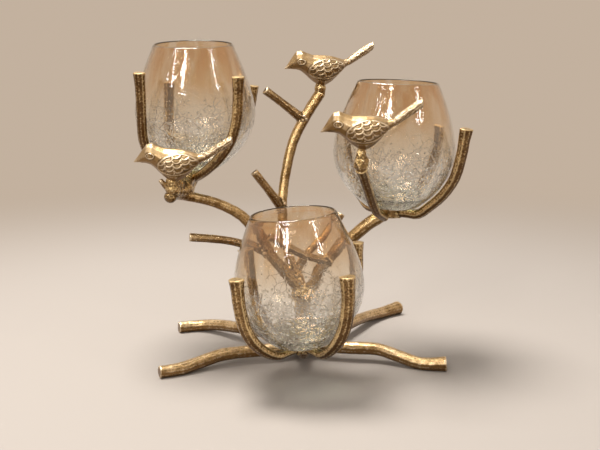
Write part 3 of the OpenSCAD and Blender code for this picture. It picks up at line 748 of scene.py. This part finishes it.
# Birds. Their own frame has +X to the tail, -X to the beak, and its origin at the foot.

BIRD_L, BIRD_H = 70, 26
BEAK = np.array((-0.406 * BIRD_L, 0, 0.4575 * BIRD_H))
# How each bird is turned on its post: about Y, then about Z, in degrees
BIRDS = {"left_bird": (4, 1), "right_bird": (0, -4), "top_bird": (2, 8)}
# Middle of the wing panel, its half length and half height in mm, and its slope
WING_MIDDLE = np.array((0.056 * BIRD_L, 0.51 * BIRD_H))
WING_HALF = (13.4, 6.9)
WING_SLOPE = math.radians(11)
# The feathers' half length and half height, the steps from one to the next along and up, how
# high over the panel's middle the first row lies, all in mm, and how many there are each way
FEATHER_HALF, FEATHER_STEP = (3.7, 2.9), (5.7, 3.3)
FIRST_ROW, FEATHER_COUNT = 8.5, 7
# Middle of the eye, and of the crown along the bird, in mm
EYE = (-0.228 * BIRD_L, 0.68 * BIRD_H)
CROWN = -0.215 * BIRD_L
# The tail, as shares of the bird's length: where its carving starts, over what length it fades
# in, and where its grooves end
TAIL_FROM, TAIL_SOFT, GROOVES_TO = 0.29, 0.03, 0.565
# A point of its middle line, as shares of the bird's length and height, and the line's slope
TAIL_LINE, TAIL_CLIMB = (0.3, 0.625), 2.05
# How far the carving stands out or goes in, in mm: a feather and its rim, the wing's border, the
# almond round the eye, the line of the beak, the dome of the crown, the tail and its roughness,
# its grooves, and the roughness of the belly
FEATHER, FEATHER_RIM, BORDER = 0.12, 0.42, 0.55
ALMOND, BEAK_LINE, DOME = 0.45, 0.25, 0.45
TAIL, TAIL_ROUGH, GROOVE, BELLY_ROUGH = 0.45, 0.42, 0.22, 0.14
# Steps between the grooves on the tail, in mm
GROOVE_STEP = 2.4


def bird_frame(node):
    """A function that takes points from the model to the bird's own frame, in mm."""
    tilt, turn = (math.radians(a) for a in BIRDS[node])
    rotation = np.array(Matrix.Rotation(turn, 3, "Z") @ Matrix.Rotation(tilt, 3, "Y"))
    co = places_of(nodes[node].data) / MM @ rotation
    tip = co[co[:, 0] < co[:, 0].min() + 0.2].mean(axis=0)
    return lambda p: p @ rotation - tip + BEAK


def feathers(along, up):
    """Overlapping scales on a wing panel, the upper ones over the lower: height in mm by
    place in mm along and up from the panel's middle."""
    height = np.zeros(len(along))
    free = np.ones(len(along), bool)
    for row, column in [(r, c) for r in range(FEATHER_COUNT) for c in range(FEATHER_COUNT)]:
        x = FEATHER_STEP[0] * (column - FEATHER_COUNT // 2)
        z = FIRST_ROW - FEATHER_STEP[1] * row - FEATHER_STEP[1] / 2 * (column % 2)
        d = np.hypot((along - x) / FEATHER_HALF[0], (up - z) / FEATHER_HALF[1])
        inside = free & (d < 1) & (up < z + 1.0)
        lower = np.clip((z + 0.9 - up[inside]) / 1.6, 0, 1)
        height[inside] = FEATHER + FEATHER_RIM * lower * ridge(d[inside] - 0.80, 0.24)
        free &= ~inside
    return height


# Each part of the carving says how far it raises the surface, in mm


def carve_wing(along, up, out):
    """The wing panel: a leaf shape pointed to the tail, with feathers and a raised border."""
    a, b = along - WING_MIDDLE[0], up - WING_MIDDLE[1]
    a, b = (a * math.cos(WING_SLOPE) + b * math.sin(WING_SLOPE),
            b * math.cos(WING_SLOPE) - a * math.sin(WING_SLOPE))
    narrow = WING_HALF[1] * (1 - 0.35 * np.clip(a / WING_HALF[0], 0, 1) ** 2)
    reach = np.hypot(a / WING_HALF[0], b / narrow)
    on_wing = np.clip((1.0 - reach) / 0.10, 0, 1) * (out > 2.5)
    return on_wing * feathers(a, b) + BORDER * ridge(reach - 1.02, 0.09) * (out > 2.0)


def carve_head(along, up, out):
    """An almond round the eye's bead, the line of the beak, and the domed crown."""
    e, f = along - EYE[0], up - EYE[1]
    almond = ALMOND * ridge(np.hypot(e / 2.7, f / 1.8) - 1.0, 0.25) * (out > 1.5)
    line = BEAK_LINE * ridge(up - 0.47 * BIRD_H - 0.05 * e, 0.45) * (along / BIRD_L < -0.325)
    crown = DOME * ridge(along - CROWN, 8.0) * np.clip((up / BIRD_H - 0.7) / 0.25, 0, 1)
    return almond - line + crown


def carve_tail(along, up, rough):
    """A full tail, rough, with grooves along it."""
    share = along / BIRD_L
    bar = up - (TAIL_LINE[1] + TAIL_CLIMB * (share - TAIL_LINE[0])) * BIRD_H
    on_tail = np.clip((share - TAIL_FROM) / TAIL_SOFT, 0, 1)
    groove = ridge(np.mod(bar, GROOVE_STEP) - GROOVE_STEP / 2, 0.5) * on_tail * (share < GROOVES_TO)
    return on_tail * (TAIL + TAIL_ROUGH * rough) - GROOVE * groove


def carve_belly(along, up, rough):
    """The belly, left rough."""
    return BELLY_ROUGH * rough * np.clip((0.42 - up / BIRD_H) / 0.1, 0, 1) * (along / BIRD_L < 0.25)


def carve_bird(node):
    to_bird = bird_frame(node)

    def carve(points):
        p = to_bird(points)
        along, up, out = p[:, 0], p[:, 2], np.abs(p[:, 1])
        rough = np.array([noise.noise(Vector(q) * 0.9) for q in p])
        front = carve_wing(along, up, out) + carve_head(along, up, out)
        return front + carve_tail(along, up, rough) + carve_belly(along, up, rough)

    return carve


# Frame

# The pieces to which each piece is brazed
CARRIERS = {
    "leg_front_left": ["root_crown"], "leg_front_right": ["root_crown"],
    "leg_back_left": ["root_crown"], "leg_back_right": ["root_crown"],
    "trunk": ["root_crown"], "front_arm": ["root_crown"],
    "left_branch": ["fork_knot"], "centre_branch": ["fork_knot", "left_branch", "right_branch"],
    "right_branch": ["fork_knot", "left_branch"],
    "left_twig": ["left_branch"], "right_twig": ["right_branch"],
    "fork_twig": ["centre_branch"], "middle_twig": ["centre_branch"], "upper_twig": ["centre_branch"],
    "left_bracket": ["left_branch"], "left_spur": ["left_branch"],
    "left_prong_2": ["left_bracket"], "right_prong_1": ["right_branch"],
    "left_bird_post": ["left_branch"], "right_bird_post": ["right_prong_1"],
    "top_bird_post": ["centre_branch"],
}
THIN = {"left_twig", "right_twig", "fork_twig", "middle_twig", "upper_twig", "left_spur"}
# Chains of lumps that make the beads under the birds, as [share of the height, radius in mm]
LUMPS = {
    "left_bird_post": [(0.05, 5.0), (0.5, 4.9), (0.95, 4.4)],
    "right_bird_post": [(0.32, 5.7), (0.44, 5.6), (0.60, 3.6), (0.95, 3.4)],
    "top_bird_post": [(0.1, 4.9), (0.5, 5.0), (0.55, 4.6), (1.0, 4.5)],
}
# Chains of lumps from the bead under the left bird to the left boss, as [share of the way,
# mm to the right of it, mm below it, radius in mm]: along the bracket, and a web over it
BRIDGE = [(0.02, 1.5, 4.2, 4.6), (0.17, 2.3, 6.2, 5.0), (0.28, 4.4, 6.0, 5.4), (0.40, 2.2, 3.0, 5.2),
          (0.56, 2.0, 0.9, 4.6), (0.80, 1.5, 0.9, 4.6)]
WEB = [(0.02, 1.0, 1.0, 4.6), (0.36, 1.8, 2.6, 4.9)]
# Where the ball on the left branch's cut end lies from the middle of that end, and its radius, in mm
BALL_AT, BALL_R = (-4.2, 0, 0.3), 5.1


def corners(node):
    return [Vector(corner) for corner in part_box(node)]


def middle_of(node):
    low, high = corners(node)
    return (low + high) / 2


def chain(rows, count=7):
    """The rows with others evenly between them, so that their lumps merge."""
    return [row for a, b in zip(rows, rows[1:]) for row in np.linspace(a, b, count)]


def knobs_of(node):
    """The lumps of braze metal on a piece, as [place in metres, radius in mm]."""
    if node in LUMPS:
        low, high = corners(node)
        middle = middle_of(node)
        return [(Vector((middle.x, middle.y, low.z + share * (high.z - low.z))), radius)
                for share, radius in chain(LUMPS[node])]
    if node == "left_bracket":
        start, end = middle_of("left_bird_post"), middle_of("left_boss")
        return [(start.lerp(end, share) + Vector((aside, 0, -below)) * MM, radius)
                for share, aside, below, radius in chain(BRIDGE) + chain(WEB)]
    if node == "left_branch":
        co = places_of(nodes[node].data)
        tip = co[co[:, 1] < co[:, 1].min() + 0.8 * MM].mean(axis=0)
        return [(Vector(tip) + Vector(BALL_AT) * MM, BALL_R)]
    return []


def cast_node(node, golds):
    """Casts a piece of the frame with the gold and the values of its kind."""
    carriers = CARRIERS.get(node, [])
    knobs = knobs_of(node)
    if node in BIRDS:
        cast(node, golds["bird_gold"], voxel=0.36, rounds=20, dents=0.1, pits=0.03,
             carve=carve_bird(node))
    elif node == "fork_knot":
        cast(node, golds["weld_gold"], voxel=0.4, rounds=3, dents=0.9, pits=0.7)
    elif "_prong_" in node:
        side = node.split("_")[0]
        cast(node, golds["prong_gold"], carriers + [side + "_boss"], bead=1.5, voxel=0.45,
             rounds=1, dents=0.3, pits=0.25, cup=side + "_cup")
    elif node.endswith("_boss"):
        cast(node, golds["cast_gold"], voxel=0.45, rounds=14, dents=0.8, pits=0.3, grown=0.4)
    elif node in THIN:
        cast(node, golds["twig_gold"], carriers, bead=1.5, rounds=3,
             grown=0.5 if node == "left_spur" else 0)
    elif node == "left_bracket":
        cast(node, golds["weld_gold"], rounds=16, dents=0.6, pits=0.3, knobs=knobs)
    elif node in LUMPS:
        cast(node, golds["weld_gold"], carriers, bead=0.9, voxel=0.4, rounds=7,
             dents=0.6, pits=0.3, knobs=knobs, round_knobs=1 if node == "right_bird_post" else 2)
    elif node.startswith("leg_"):
        cast(node, golds["leg_gold"], carriers, bead=1.8, dents=0.45, pits=0.12)
    else:
        cast(node, golds["cast_gold"], carriers, bead=1.8, dents=0.45, pits=0.2,
             knobs=knobs, dark_knobs=True)


def make_frame():
    golds = {name: gold(name, **look) for name, look in GOLDS.items()}
    for node in record["behaviour"]["bodies"]["frame"]:
        cast_node(node, golds)


place_camera()
light()
paint_world()
make_floor()
make_frame()
make_cups(crackle_glass())
